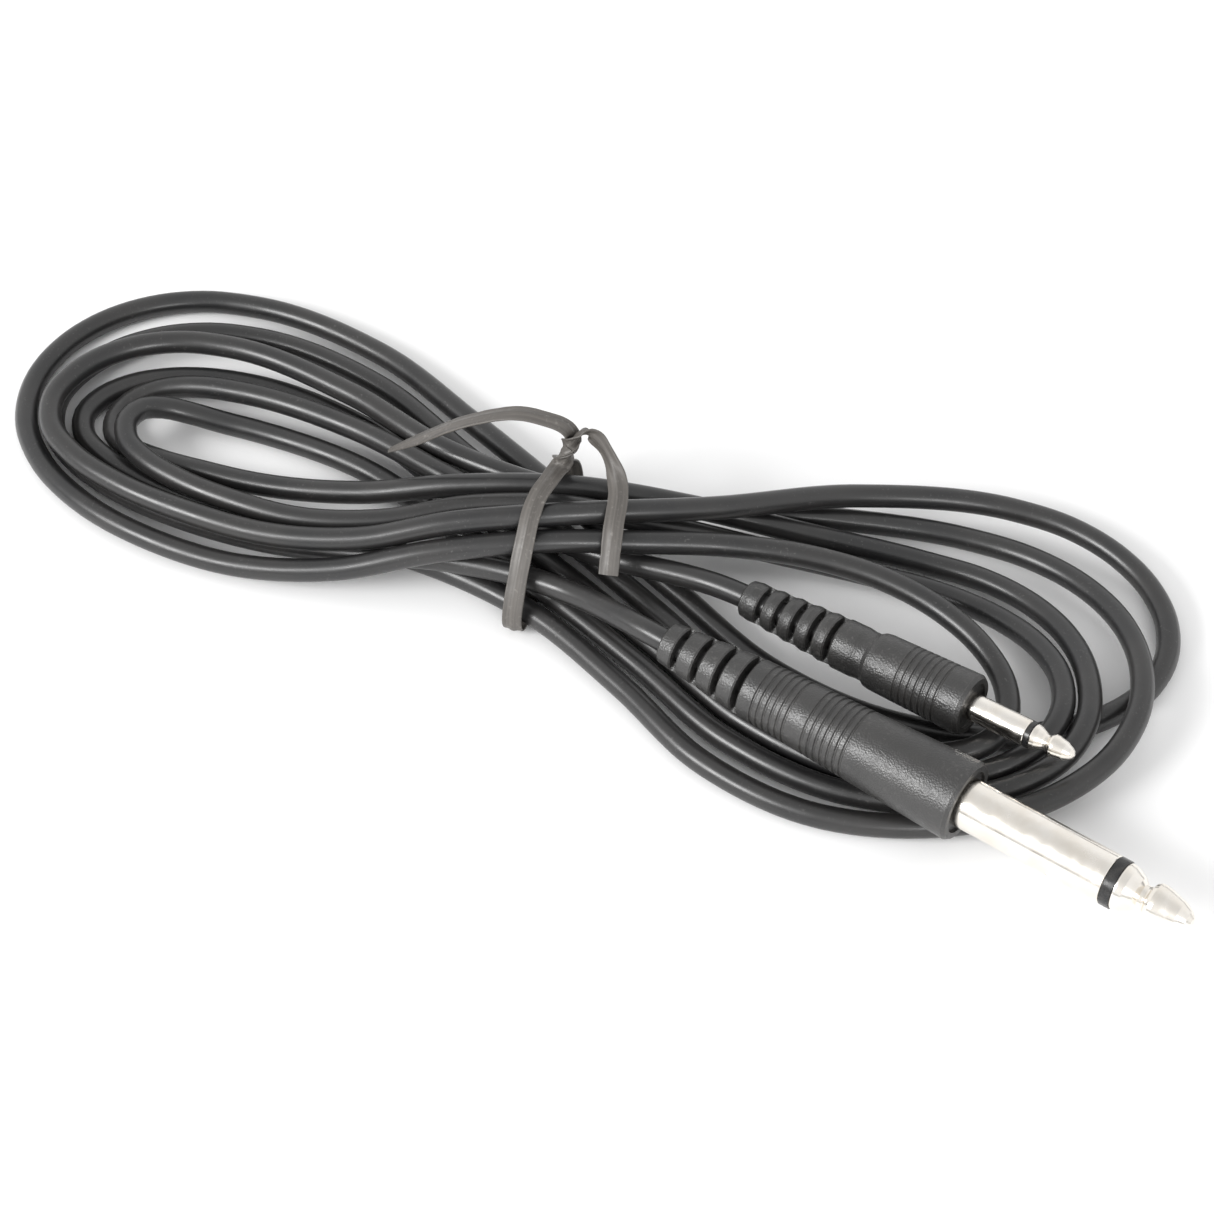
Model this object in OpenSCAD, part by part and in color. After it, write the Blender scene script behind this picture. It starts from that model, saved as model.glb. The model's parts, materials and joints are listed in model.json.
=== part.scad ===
// Instrument cable: a 6.35 mm and a 3.5 mm moulded mono plug on one thin cable,
// wound in flat loops that a twist tie pinches at the middle.
// Millimetres, +Z up. Origin: centre of the tied bundle, on the resting plane.
// +X runs along the coil towards the plugs.

/* [Cable] */
// Outside diameter of the cable
cable_d = 3.1; // [2.9:0.05:3.1]
// Diameter over the spiral shield
shield_d = 1.5; // [1.4:0.05:1.5]
// Diameter over the core's insulation
core_d = 1.08; // [1:0.02:1.08]
// Diameter of the stranded conductor
wire_d = 0.42; // [0.36:0.02:0.42]

/* [Large plug] */
// Diameter of the 6.35 mm plug's sleeve
large_sleeve_d = 6.35; // [6.3:0.01:6.4]
// Length of the sleeve in front of the handle
large_sleeve_l = 19.8; // [19:0.1:20.5]
// Length of the tip in front of its insulating ring
large_tip_l = 9.6; // [9.2:0.1:10]
// Handle diameter at the front
large_handle_d = 10.4; // [10.2:0.1:11]
// Handle diameter where the boot begins
large_neck_d = 7.8; // [7.6:0.1:8]
// Handle length
large_handle_l = 30.8; // [30.6:0.1:31]
// Width of each slot in the boot
large_slot = 0.9; // [0.85:0.01:0.95]

/* [Small plug] */
// Diameter of the 3.5 mm plug's sleeve
small_sleeve_d = 3.5; // [3.45:0.01:3.55]
// Length of the sleeve in front of the handle
small_sleeve_l = 8; // [7.6:0.1:8.4]
// Length of the tip in front of its insulating ring
small_tip_l = 5.7; // [5.4:0.1:6]
// Handle diameter at the front
small_handle_d = 8.1; // [8:0.1:8.4]
// Handle diameter where the boot begins
small_neck_d = 6.6; // [6.4:0.1:6.8]
// Handle length
small_handle_l = 19.2; // [19:0.1:19.4]
// Width of each slot in the boot
small_slot = 0.85; // [0.8:0.01:0.9]

/* [Twist tie] */
// Width of the ribbon
ribbon_w = 2.6; // [2.4:0.1:2.8]
// Thickness of the ribbon's flat edges
ribbon_t = 0.3; // [0.26:0.02:0.34]
// Diameter of the wire inside the ribbon
tie_wire_d = 0.4; // [0.36:0.02:0.44]

/* [Hidden] */
$fn = 64;
UP = [0, 0, 1];
gap = 0.03;                 // clearance between the layers of the cable and round bonded parts
jacket_sides = 10;
shield_sides = 6;
core_sides = 5;
straight_steps = 3;         // straight stretches of each quarter of a loop next to the tie
lead_steps = 6;
round_steps = 5;            // and of each quarter at the loop's round end
tie_pull = 0.38;            // how far a strand keeps its direction on leaving the tie
bend_pull = 0.56;           // makes a quarter loop nearly round
tight_bend = 6;             // shortest pull at the end of a loop

// One row for each time the cable passes through the tie, from the small plug's end
// to the large plug's end: across (y), height (z), slope in plan (degrees).
PASS = [
  [-1.3, 5.9, -18], [4.2, 9.9, 8], [-7.7, 2.6, -23], [0.8, 9.6, 4],
  [-3.3, 2.6, -24], [-12.1, 2.6, -22], [6.9, 5.9, 4], [-3.9, 12.6, 14],
  [7.7, 2.6, -28], [-6.5, 10.3, 15], [2.3, 2.6, -26], [-9.7, 6.3, -8]
];
// One row for each half turn between two passes: side of the tie (-1 left, 1 right),
// reach, y and z at the end of the loop, then x, y, z where its first side is widest
// and x, y, z where its second side is widest.
LOOPS = [
  [-1, 65, 6.5, 1.7, 50, 14, 4, 42, -1.2, 3.4],
  [1, 71.8, -12, 5, 46, 12.2, 1.7, 46, -28.6, 1.7],
  [-1, 61.5, 3, 5.6, 46, 9.8, 1.7, 34, -7.4, 5.4],
  [1, 68.5, -11, 5, 40, 8, 1.7, 48, -25.1, 1.7],
  [-1, 69.3, 6, 1.7, 50, 18, 1.7, 40, -5.6, 1.7],
  [1, 77.6, -8, 5, 43, -33.1, 1.7, 50, 18, 1.7],
  [-1, 73, 5, 5, 54, 21, 5, 36, -11.6, 5.8],
  [1, 79, 5, 1.7, 55, 23.5, 3.2, 50, -15.8, 1.6],
  [-1, 78.4, 11, 1.7, 55, 33, 1.7, 40, -15, 2.4],
  [1, 62.2, -14, 5, 34, 2.5, 8.4, 48, -22, 3.5],
  [-1, 74, 8, 1.7, 52, 27, 1.7, 38, -10.2, 2.8]
];

// Plug frames: local +Z runs along the plug to its tip, z = 0 at the handle's front.
// The boot's slots open to local +X and -X and its webs stand at local +Y and -Y.
LARGE_AT = [61, -31.9, 9];
LARGE_TURN = [0, 91, -18.5];
SMALL_AT = [58.2, -16.4, 8.6];
SMALL_TURN = [0, 88, -18.6];
roll = 37;                  // turns the slots to face up and forward

large_slots = 4;
large_slot_pitch = 3.2;
large_boot_l = 12.6;
large_boot_d = 5.4;         // at the cable's end of the boot
small_slots = 5;
small_slot_pitch = 2.65;
small_boot_l = 14;
small_boot_d = 4.8;
web_r = 0.75;               // radius of the web that joins two ribs, on the flex axis
web_play = 0.05;
large_end = -(large_handle_l + large_boot_l);
small_end = -(small_handle_l + small_boot_l);
large_first = large_end + (large_boot_l - large_slot - (large_slots - 1) * large_slot_pitch);
small_first = small_end + (small_boot_l - small_slot - (small_slots - 1) * small_slot_pitch);

cable_r = cable_d / 2;
shield_r = shield_d / 2;
core_r = core_d / 2;
wire_r = wire_d / 2;
jacket_bore = (shield_r + gap) / cos(180 / jacket_sides);
shield_bore = (core_r + gap) / cos(180 / shield_sides);
core_bore = (wire_r + gap) / cos(180 / core_sides);
boot_bore = cable_r + gap;

ring_gap = 0.05;            // air between the sleeve, its insulator and the tip
ring_step = 0.03;           // how far the black ring stands below the sleeve
large_ring_w = 1.4;
small_ring_w = 0.7;
groove_pitch = 0.95;        // ring grooves of the handles
groove_w = 0.45;
groove_depth = 0.18;
flange_back = -2.9;         // a sleeve's flange, from the handle's front
flange_front = -1.1;
front_wall = 1;             // thickness of the handle in front of the flange
grip = 0.2;                 // depth of the groove round a sleeve that the front wall fills
rim_edge = 0.35;            // chamfer at the handle's front

// Twist tie: the loop's outline in the plane x = tie_x, as y and z.
tie_x = -1.8;
TIE_LOOP = [
  [-3.9, 14.8], [-8.6, 12.2], [-12.2, 8], [-14.6, 3.9], [-14, 1.2],
  [-11.4, 0.5], [-2, 0.5], [8.4, 0.5], [11.2, 1.3], [11.9, 4.2], [10.4, 8.4], [6.8, 12.2]
];
neck_foot = [-0.6, 3.6, 14.9];
neck_top = [0.6, 4.8, 19.2];
neck_twist = 270;
neck_steps = 8;
ribbon_gap = 0.5;           // half the distance between the twisted ribbons
ridge_t = 0.36;             // half thickness over the wire
hinge_r = 0.42;             // round end of a tail, on its bending axis
tail_start = 1.1;           // from the bending axis to the neck and to the tail's wire
LEFT_TAIL = [[-1.6, 4.6, 20.6], [-7, 4.1, 21.2], [-14, 3.7, 18], [-20, 4.2, 13], [-25, 5, 8.6]];
RIGHT_TAIL = [[2.2, 4.9, 20.2], [5, 4.4, 17.6], [7.6, 1, 15], [8.6, -4.5, 13.2], [9.2, -8.6, 9]];

BLACK = [0.07, 0.07, 0.075];
GREY = [0.2, 0.19, 0.18];
NICKEL = [0.86, 0.84, 0.8];
COPPER = [0.72, 0.42, 0.24];
TIN = [0.7, 0.71, 0.73];
WHITE = [0.85, 0.85, 0.82];
STEEL = [0.5, 0.5, 0.52];

// ---------------------------------------------------------------- vectors and curves

function unit(v) = v / norm(v);
function turned(angles, v) =
  let (b = angles[1], c = angles[2])
  let (x = v.x * cos(b) + v.z * sin(b), z = v.z * cos(b) - v.x * sin(b))
  [x * cos(c) - v.y * sin(c), x * sin(c) + v.y * cos(c), z];
function plug_point(at, turn, z) = at + turned(turn, [0, 0, z]);

// A cubic curve through a and d with pulls towards b and c, without its last point.
function curve(a, b, c, d, n) = [
  for (i = [0 : n - 1])
    let (t = i / n, s = 1 - t)
    a * s * s * s + b * 3 * t * s * s + c * 3 * t * t * s + d * t * t * t
];
// A smooth curve through every point of a list.
function smooth(p, n) = [
  for (i = [0 : len(p) - 2])
    let (before = p[max(i - 1, 0)], after = p[min(i + 2, len(p) - 1)])
    each curve(p[i], p[i] + (p[i + 1] - before) / 6, p[i + 1] - (after - p[i]) / 6, p[i + 1], n),
  p[len(p) - 1]
];

function pass_at(i) = [0, PASS[i][0], PASS[i][1]];
function pass_way(i) = [cos(PASS[i][2]), sin(PASS[i][2]), 0];
function bend(from, to) = sign(to - from) * max(bend_pull * abs(to - from), tight_bend);

// Half turn i: tie, first widest point, end of the loop, second widest point, tie.
function half_turn(i) =
  let (r = LOOPS[i], side = r[0], x_way = [side, 0, 0])
  let (start = pass_at(i), stop = pass_at(i + 1))
  let (end = [side * r[1], r[2], r[3]])
  let (wide_1 = [side * r[4], r[5], r[6]], wide_2 = [side * r[7], r[8], r[9]])
  let (pull_1 = tie_pull * norm(wide_1 - start), pull_2 = tie_pull * norm(stop - wide_2))
  let (run_1 = bend_pull * (r[1] - r[4]), run_2 = bend_pull * (r[1] - r[7]))
  let (out = [0, bend(r[2], r[5]), 0], back = [0, bend(r[2], r[8]), 0])
  [
    each curve(start, start + pass_way(i) * side * pull_1, wide_1 - x_way * pull_1, wide_1, straight_steps),
    each curve(wide_1, wide_1 + x_way * run_1, end + out, end, round_steps),
    each curve(end, end + back, wide_2 + x_way * run_2, wide_2, round_steps),
    each curve(wide_2, wide_2 - x_way * pull_2, stop + pass_way(i + 1) * side * pull_2, stop, straight_steps)
  ];

// The lead from a boot to the tie, starting inside the boot's first rib.
function lead(at, turn, first, end, i) =
  let (inner = plug_point(at, turn, first - gap), outer = plug_point(at, turn, end))
  let (way = turned(turn, UP), pull = tie_pull * norm(outer - pass_at(i)))
  [
    inner,
    each curve(outer, outer - way * pull, pass_at(i) + pass_way(i) * pull, pass_at(i), lead_steps)
  ];
function reversed(p) = [for (i = [len(p) - 1 : -1 : 0]) p[i]];

CABLE_LINE = [
  each lead(SMALL_AT, SMALL_TURN, small_first, small_end, 0),
  for (i = [0 : len(LOOPS) - 1]) each half_turn(i),
  pass_at(len(LOOPS)),
  each reversed(lead(LARGE_AT, LARGE_TURN, large_first, large_end, len(LOOPS)))
];

// ---------------------------------------------------------------- sweeping a section

function heading(p, i) = unit(p[min(i + 1, len(p) - 1)] - p[max(i - 1, 0)]);
function ring_at(p, i, hint, section) =
  let (t = heading(p, i), w = unit(hint - t * (hint * t)), n = cross(t, w))
  [for (q = section) p[i] + w * q.x + n * q.y];
function round_section(sides, r) = [for (a = [0 : sides - 1]) r * [cos(a * 360 / sides), sin(a * 360 / sides)]];

// Walls between ring i and ring i + 1 of a stack of rings with m points, from point k.
function walls(rings, m, first, flip) = [
  for (i = [0 : rings - 2], j = [0 : m - 1])
    let (a = first + i * m + j, b = first + i * m + (j + 1) % m, c = b + m, d = a + m)
    each flip ? [[a, b, c], [a, c, d]] : [[a, c, b], [a, d, c]]
];
// End faces between an outer and an inner ring.
function end_faces(m, a, b, flip) = [
  for (j = [0 : m - 1])
    let (k = (j + 1) % m)
    each flip ? [[a + j, b + k, a + k], [a + j, b + j, b + k]] : [[a + j, a + k, b + k], [a + j, b + k, b + j]]
];

// Sweeps a solid section along p; hints give the section's width direction at each point.
module solid_sweep(p, hints, section) {
  m = len(section);
  points = [for (i = [0 : len(p) - 1]) each ring_at(p, i, hints[i], section)];
  last = (len(p) - 1) * m;
  polyhedron(points, [
    each walls(len(p), m, 0, false),
    [for (j = [0 : m - 1]) j],
    [for (j = [m - 1 : -1 : 0]) last + j]
  ], convexity = 10);
}

// The same with a channel along its inside.
module tube_sweep(p, hints, section, channel) {
  m = len(section);
  count = len(p) * m;
  points = [
    for (i = [0 : len(p) - 1]) each ring_at(p, i, hints[i], section),
    for (i = [0 : len(p) - 1]) each ring_at(p, i, hints[i], channel)
  ];
  polyhedron(points, [
    each walls(len(p), m, 0, false),
    each walls(len(p), m, count, true),
    each end_faces(m, 0, count, false),
    each end_faces(m, count - m, 2 * count - m, true)
  ], convexity = 10);
}

// ---------------------------------------------------------------- cable

CABLE_HINTS = [for (i = [0 : len(CABLE_LINE) - 1]) cross(UP, heading(CABLE_LINE, i))];

module cable_layer(sides, r, bore) {
  tube_sweep(CABLE_LINE, CABLE_HINTS, round_section(sides, r), round_section(sides, bore));
}
module cable_jacket() {
  color(BLACK) cable_layer(jacket_sides, cable_r, jacket_bore);
}
module cable_shield() {
  color(COPPER) cable_layer(shield_sides, shield_r, shield_bore);
}
module core_insulation() {
  color(WHITE) cable_layer(core_sides, core_r, core_bore);
}
module core_conductor() {
  color(COPPER) solid_sweep(CABLE_LINE, CABLE_HINTS, round_section(core_sides, wire_r));
}

// ---------------------------------------------------------------- twist tie

// Flat ribbon with a ridge over the wire; x across the ribbon, y through it.
function ribbon_section() =
  let (w = ribbon_w / 2, t = ribbon_t / 2, r = ridge_t)
  [
    [w, -t], [w, t], [r, t + 0.1], [0, r], [-r, t + 0.1],
    [-w, t], [-w, -t], [-r, -t - 0.1], [0, -r], [r, -t - 0.1]
  ];
function wire_channel() = round_section(len(ribbon_section()), tie_wire_d / 2 + gap);

// One of the two ribbons in the twisted neck, from its foot up; side is -1 or 1.
function neck_angle(i) = neck_twist * i / neck_steps;
function neck_hint(i) = [cos(neck_angle(i)), sin(neck_angle(i)), 0];
function neck_side(i) = [-sin(neck_angle(i)), cos(neck_angle(i)), 0];
function neck_point(i, side) =
  neck_foot + (neck_top - neck_foot) * i / neck_steps + neck_side(i) * side * ribbon_gap;
function neck(side) = [for (i = [0 : neck_steps]) neck_point(i, side)];
NECK_HINTS = [for (i = [0 : neck_steps]) neck_hint(i)];

TIE_RING = smooth([
  neck_point(0, -1), for (q = TIE_LOOP) [tie_x, q[0], q[1]], neck_point(0, 1)
], 2);
TIE_LINE = [
  each reversed([for (i = [1 : neck_steps]) neck_point(i, -1)]),
  each TIE_RING,
  for (i = [1 : neck_steps]) neck_point(i, 1)
];
TIE_HINTS = [
  each reversed([for (i = [1 : neck_steps]) neck_hint(i)]),
  for (i = [0 : len(TIE_RING) - 1]) [1, 0, 0],
  for (i = [1 : neck_steps]) neck_hint(i)
];

module tie_ribbon() {
  color(GREY) tube_sweep(TIE_LINE, TIE_HINTS, ribbon_section(), wire_channel());
}
module tie_wire() {
  color(STEEL) solid_sweep(TIE_LINE, TIE_HINTS, round_section(5, tie_wire_d / 2));
}

// The bending axis of a tail lies across the ribbon, just above the neck.
function tail_axis(side) =
  neck_point(neck_steps, side) + unit(neck_top - neck_foot) * tail_start;
LEFT_LINE = smooth([tail_axis(-1), for (q = LEFT_TAIL) q], 4);
RIGHT_LINE = smooth([tail_axis(1), for (q = RIGHT_TAIL) q], 4);
LEFT_HINTS = [for (i = [0 : len(LEFT_LINE) - 1]) neck_hint(neck_steps)];
RIGHT_HINTS = [
  for (i = [0 : len(RIGHT_LINE) - 1])
    let (t = i / (len(RIGHT_LINE) - 1))
    neck_hint(neck_steps) * (1 - t) + [-1, 0, 0] * t
];
function without_first(p) = [for (i = [1 : len(p) - 1]) p[i]];

module tail(line, hints, side) {
  difference() {
    union() {
      solid_sweep(line, hints, ribbon_section());
      translate(tail_axis(side)) rotate([90, 0, 0])
        cylinder(h = ribbon_w, r = hinge_r, center = true, $fn = 24);
    }
    solid_sweep(without_first(line), without_first(hints), wire_channel());
  }
}
module tail_wire(line, hints) {
  solid_sweep(without_first(line), without_first(hints), round_section(5, tie_wire_d / 2));
}
module tie_tail_left() {
  color(GREY) tail(LEFT_LINE, LEFT_HINTS, -1);
}
module tie_tail_right() {
  color(GREY) tail(RIGHT_LINE, RIGHT_HINTS, 1);
}
module tie_wire_left() {
  color(STEEL) tail_wire(LEFT_LINE, LEFT_HINTS);
}
module tie_wire_right() {
  color(STEEL) tail_wire(RIGHT_LINE, RIGHT_HINTS);
}

// ---------------------------------------------------------------- parts both plugs share

module on_large() {
  translate(LARGE_AT) rotate(LARGE_TURN) rotate([0, 0, roll]) children();
}
module on_small() {
  translate(SMALL_AT) rotate(SMALL_TURN) rotate([0, 0, roll]) children();
}

// Tube about the plug's axis from z0 to z1.
module tube(z0, z1, r, bore) {
  rotate_extrude() polygon([[bore, z0], [r, z0], [r, z1], [bore, z1]]);
}
module bar(z0, z1, r) {
  translate([0, 0, z0]) cylinder(h = z1 - z0, r = r);
}
// Two round webs on the flex axis at height z, from r_in to r_out.
module webs(z, r_in, r_out, r) {
  for (side = [-1, 1])
    translate([0, side * r_in, z]) rotate([-side * 90, 0, 0])
      cylinder(h = r_out - r_in, r = r, $fn = 32);
}
module web_sockets(z, r_out) {
  webs(z, boot_bore - 0.2, r_out + 1, web_r + web_play);
}
// One rib of a boot from z0 to z1, its radius r0 to r1 with a round bulge.
module rib(z0, z1, r0, r1, bulge) {
  edge = 0.2;
  middle = (z0 + z1) / 2;
  rotate_extrude() polygon([
    [boot_bore, z0], [r0 - edge, z0], [r0, z0 + edge], [(r0 + r1) / 2 + bulge, middle],
    [r1, z1 - edge], [r1 - edge, z1], [boot_bore, z1]
  ]);
}
// Rib k of a boot: rib 1 holds the cable, and each has the webs to the next one.
module boot_rib(k, end, first, pitch, slot, front, r_end, r_front, bulge) {
  z0 = k == 1 ? end : first + (k - 2) * pitch + slot;
  z1 = first + (k - 1) * pitch;
  slope = (r_front - r_end) / (front - end);
  r0 = r_end + slope * (z0 - end);
  r1 = r_end + slope * (z1 - end);
  difference() {
    union() {
      rib(z0, z1, r0, r1, bulge);
      webs(z1 + slot / 2, boot_bore + 0.1, r1 - 0.05, web_r);
    }
    if (k > 1) web_sockets(z0 - slot / 2, r0);
  }
}
// Outline points of ring grooves, from z_start towards the front on a taper.
function groove_points(count, z_start, r_at, slope) = [
  for (i = [0 : count - 1])
    let (z = z_start + i * groove_pitch, r = r_at + slope * i * groove_pitch)
    let (floor_r = r - groove_depth)
    each [[r, z], [floor_r, z + groove_w / 3], [floor_r, z + 2 * groove_w / 3], [r, z + groove_w]]
];

// Sleeve with its shank and flange inside the handle, and the groove that the moulding grips.
module plug_sleeve(r, bore, length, flange_r, shank, recess) {
  soft = 0.15;
  rotate_extrude() polygon([
    [bore, -shank], [r, -shank], [r, flange_back], [flange_r, flange_back], [flange_r, flange_front],
    [r - grip, flange_front], [r - grip, gap - recess], [r, gap - recess],
    [r, length - soft], [r - soft, length], [bore, length]
  ]);
}
// Insulating tube with the black ring that shows between sleeve and tip.
module plug_insulator(r, tube_r, bore, length, ring_w, shank) {
  rotate_extrude() polygon([
    [bore, -shank], [tube_r, -shank], [tube_r, length + ring_gap], [r, length + ring_gap],
    [r, length + ring_w - ring_gap], [bore, length + ring_w - ring_gap]
  ]);
}
// Flat washer behind the sleeve.
module rear_washer(r, bore, shank) {
  tube(-shank - 1.4, -shank - ring_gap, r, bore);
}
// Tab riveted on the centre rod's rear end, with a tongue for the core wire.
module tip_lug(r, bore, z, tongue, tongue_l) {
  tube(z - 0.35, z, r, bore);
  translate([bore + 0.1, -tongue / 2, z - tongue_l]) cube([0.35, tongue, tongue_l]);
}
// Ring on the sleeve's shank, a strap to the rear and a clamp round the jacket.
module ground_lug(ring_r, ring_bore, z, step_z, strap_x, clamp_z, clamp_l) {
  strap_w = 1.6;
  strap_t = 0.3;
  tube(z - 0.4, z, ring_r, ring_bore);
  translate([-ring_r + 0.05, -strap_w / 2, step_z]) cube([strap_t, strap_w, z - step_z]);
  translate([-ring_r + 0.05, -strap_w / 2, step_z]) cube([ring_r - strap_x, strap_w, strap_t]);
  translate([-strap_x, -strap_w / 2, clamp_z]) cube([strap_t, strap_w, step_z - clamp_z + strap_t]);
  tube(clamp_z - clamp_l, clamp_z, cable_r + gap + 0.3, cable_r + gap);
  translate([-strap_x, -strap_w / 2, clamp_z - strap_t])
    cube([max(strap_x - cable_r - 0.1, strap_t), strap_w, strap_t]);
}
// Solder dab standing on a tab's face at x.
module solder(x, z, r, height) {
  translate([x, 0, z]) rotate([0, 90, 0]) cylinder(h = height, r1 = r, r2 = r * 0.6);
}

// ---------------------------------------------------------------- large plug, 6.35 mm

large_r = large_sleeve_d / 2;
large_shank = 6;
large_rod_r = 1.2;
large_bore = 2.1;
large_lug_z = -large_shank - 1.5;
large_strip_z = -18;        // where the jacket ends inside the handle
large_front = -large_handle_l;
large_recess = 0.45;        // depth of the recess round the sleeve
large_rim_w = 1.1;
large_flange_r = 4.2;
large_pocket_r = 4.3;       // hollow round the flange and the lugs
large_pocket_z = -9;
large_hollow_r = 3.6;       // hollow round the inner mould
large_hollow_z = -22;
large_rear_rings = 6;       // ring grooves in the group near the boot
large_front_rings = 7;
large_rear_rings_z = large_front + 2;
large_front_rings_z = large_front + 9.6;

module large_rib(k) {
  color(BLACK) on_large()
    boot_rib(k, large_end, large_first, large_slot_pitch, large_slot, large_front,
      large_boot_d / 2, large_neck_d / 2, 0);
}
module large_handle() {
  r0 = large_neck_d / 2;
  r1 = large_handle_d / 2;
  slope = (r1 - r0) / large_handle_l;
  first = large_rear_rings_z;
  second = large_front_rings_z;
  edge = 0.5;
  color(BLACK) on_large() difference() {
    rotate_extrude() polygon([
      [boot_bore, large_front], [r0 - 0.2, large_front], [r0, large_front + 0.2],
      each groove_points(large_rear_rings, first, r0 + slope * (first - large_front), slope),
      each groove_points(large_front_rings, second, r0 + slope * (second - large_front), slope),
      [r1, -edge], [r1 - rim_edge, 0], [r1 - large_rim_w, 0], [r1 - large_rim_w, -large_recess],
      [large_r - grip + gap, -large_recess], [large_r - grip + gap, -front_wall],
      [large_pocket_r, -front_wall], [large_pocket_r, large_pocket_z],
      [large_hollow_r, large_pocket_z], [large_hollow_r, large_hollow_z], [boot_bore, large_hollow_z]
    ]);
    web_sockets(large_front - large_slot / 2, r0);
  }
}
module large_sleeve() {
  color(NICKEL) on_large()
    plug_sleeve(large_r, large_bore, large_sleeve_l, large_flange_r, large_shank, large_recess);
}
module large_insulator() {
  color(BLACK) on_large()
    plug_insulator(large_r - ring_step, large_bore - ring_gap, large_rod_r + gap,
      large_sleeve_l, large_ring_w, large_shank);
}
// Tip: collar, neck, rounded head, cone, and the centre rod through the plug.
module large_tip() {
  z = large_sleeve_l + large_ring_w;
  l = large_tip_l;
  color(NICKEL) on_large() rotate_extrude() polygon([
    [0, large_lug_z - 1], [large_rod_r, large_lug_z - 1], [large_rod_r, z], [2.98, z], [3.02, z + 0.25],
    [2.85, z + 1.1], [2.2, z + 2.3], [1.65, z + 2.8], [1.6, z + 3.3], [1.75, z + 3.6], [2.35, z + 3.95],
    [2.6, z + 4.4], [2.62, z + 4.9], [2.45, z + 5.8], [1.9, z + l - 1.8], [1.3, z + l - 0.7],
    [0.75, z + l - 0.15], [0, z + l]
  ]);
}
module large_rear_washer() {
  color(WHITE) on_large() rear_washer(3.1, large_rod_r + gap, large_shank);
}
module large_tip_lug() {
  color(NICKEL) on_large() tip_lug(2.3, large_rod_r + gap, large_lug_z, 1.8, 5.5);
}
module large_ground_lug() {
  color(NICKEL) on_large()
    ground_lug(large_flange_r, large_r + gap, flange_back - ring_gap, -8.5, 2.4, large_strip_z, 2.5);
}
module large_inner_mould() {
  color(WHITE) on_large() {
    tube(large_hollow_z + 0.1, large_pocket_z - 0.1, large_hollow_r - 0.05, large_hollow_r - 0.45);
    tube(large_hollow_z + 0.1, large_hollow_z + 0.8, large_hollow_r - 0.3, boot_bore);
  }
}
module large_tip_solder() {
  color(TIN) on_large() difference() {
    solder(1.7, large_lug_z - 4.3, 0.85, 0.7);
    translate([1.95, 0, 0]) bar(large_lug_z - 6, large_lug_z - 3.8 + gap, wire_r + gap);
  }
}
module large_ground_solder() {
  color(TIN) on_large() mirror([1, 0, 0]) solder(2.42, -13, 0.75, 0.45);
}
module large_lead_jacket() {
  color(BLACK) on_large() tube(large_first + gap, large_strip_z + 0.4, cable_r, shield_r + gap);
}
module large_lead_shield() {
  color(COPPER) on_large() tube(large_first + gap, large_strip_z + 1.6, shield_r, core_r + gap);
}
module large_lead_core() {
  color(WHITE) on_large() tube(large_first + gap, large_strip_z + 3.4, core_r, wire_r + gap);
}
module large_lead_wire() {
  color(COPPER) on_large() {
    bar(large_first + gap, large_strip_z + 4.2, wire_r);
    translate([1.95, 0, 0]) bar(large_strip_z + 3.9, large_lug_z - 3.8, wire_r);
    translate([0, 0, large_strip_z + 4.05]) rotate([0, 90, 0]) cylinder(h = 1.95, r = wire_r);
  }
}

// ---------------------------------------------------------------- small plug, 3.5 mm

small_r = small_sleeve_d / 2;
small_shank = 4;
small_rod_r = 0.65;
small_lug_z = -small_shank - 1.5;
small_strip_z = -12;
small_front = -small_handle_l;
small_bore = 1.15;
small_waist = 0.1;          // how much thinner the boot is than the handle's neck
small_bulge = 0.12;         // how far its ribs stand out in their middle
small_recess = 0.4;
small_rim_w = 1;
small_flange_r = 2.9;
small_pocket_r = 3;
small_pocket_z = -6.2;
small_hollow_r = 2.7;
small_hollow_z = -15;
small_rings = 7;
small_rings_z = -9.5;
small_body_z = -13.6;       // where the thicker body begins, in front of the waist
small_step = 0.45;          // how much thicker it is than the neck

module small_rib(k) {
  color(BLACK) on_small()
    boot_rib(k, small_end, small_first, small_slot_pitch, small_slot, small_front,
      small_boot_d / 2, small_neck_d / 2 - small_waist, small_bulge);
}
module small_handle() {
  r0 = small_neck_d / 2;
  r1 = small_handle_d / 2;
  first = small_rings_z;
  body_z = small_body_z;
  body_r = r0 + small_step;
  slope = (r1 - body_r) / -body_z;
  edge = 0.5;
  color(BLACK) on_small() difference() {
    rotate_extrude() polygon([
      [boot_bore, small_front], [r0 - 0.25, small_front], [r0, small_front + 0.3],
      [r0 + 0.02, small_front + 2.8], [r0 - 0.1, small_front + 3.8], [r0 - 0.08, body_z - 1],
      [body_r - 0.12, body_z - 0.3], [body_r, body_z + 0.4],
      each groove_points(small_rings, first, body_r + slope * (first - body_z), slope),
      [r1, -edge], [r1 - rim_edge, 0], [r1 - small_rim_w, 0], [r1 - small_rim_w, -small_recess],
      [small_r - grip + gap, -small_recess], [small_r - grip + gap, -front_wall],
      [small_pocket_r, -front_wall], [small_pocket_r, small_pocket_z],
      [small_hollow_r, small_pocket_z], [small_hollow_r, small_hollow_z], [boot_bore, small_hollow_z]
    ]);
    web_sockets(small_front - small_slot / 2, r0);
  }
}
module small_sleeve() {
  color(NICKEL) on_small()
    plug_sleeve(small_r, small_bore, small_sleeve_l, small_flange_r, small_shank, small_recess);
}
module small_insulator() {
  color(BLACK) on_small()
    plug_insulator(small_r - ring_step, small_bore - ring_gap, small_rod_r + gap,
      small_sleeve_l, small_ring_w, small_shank);
}
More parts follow.
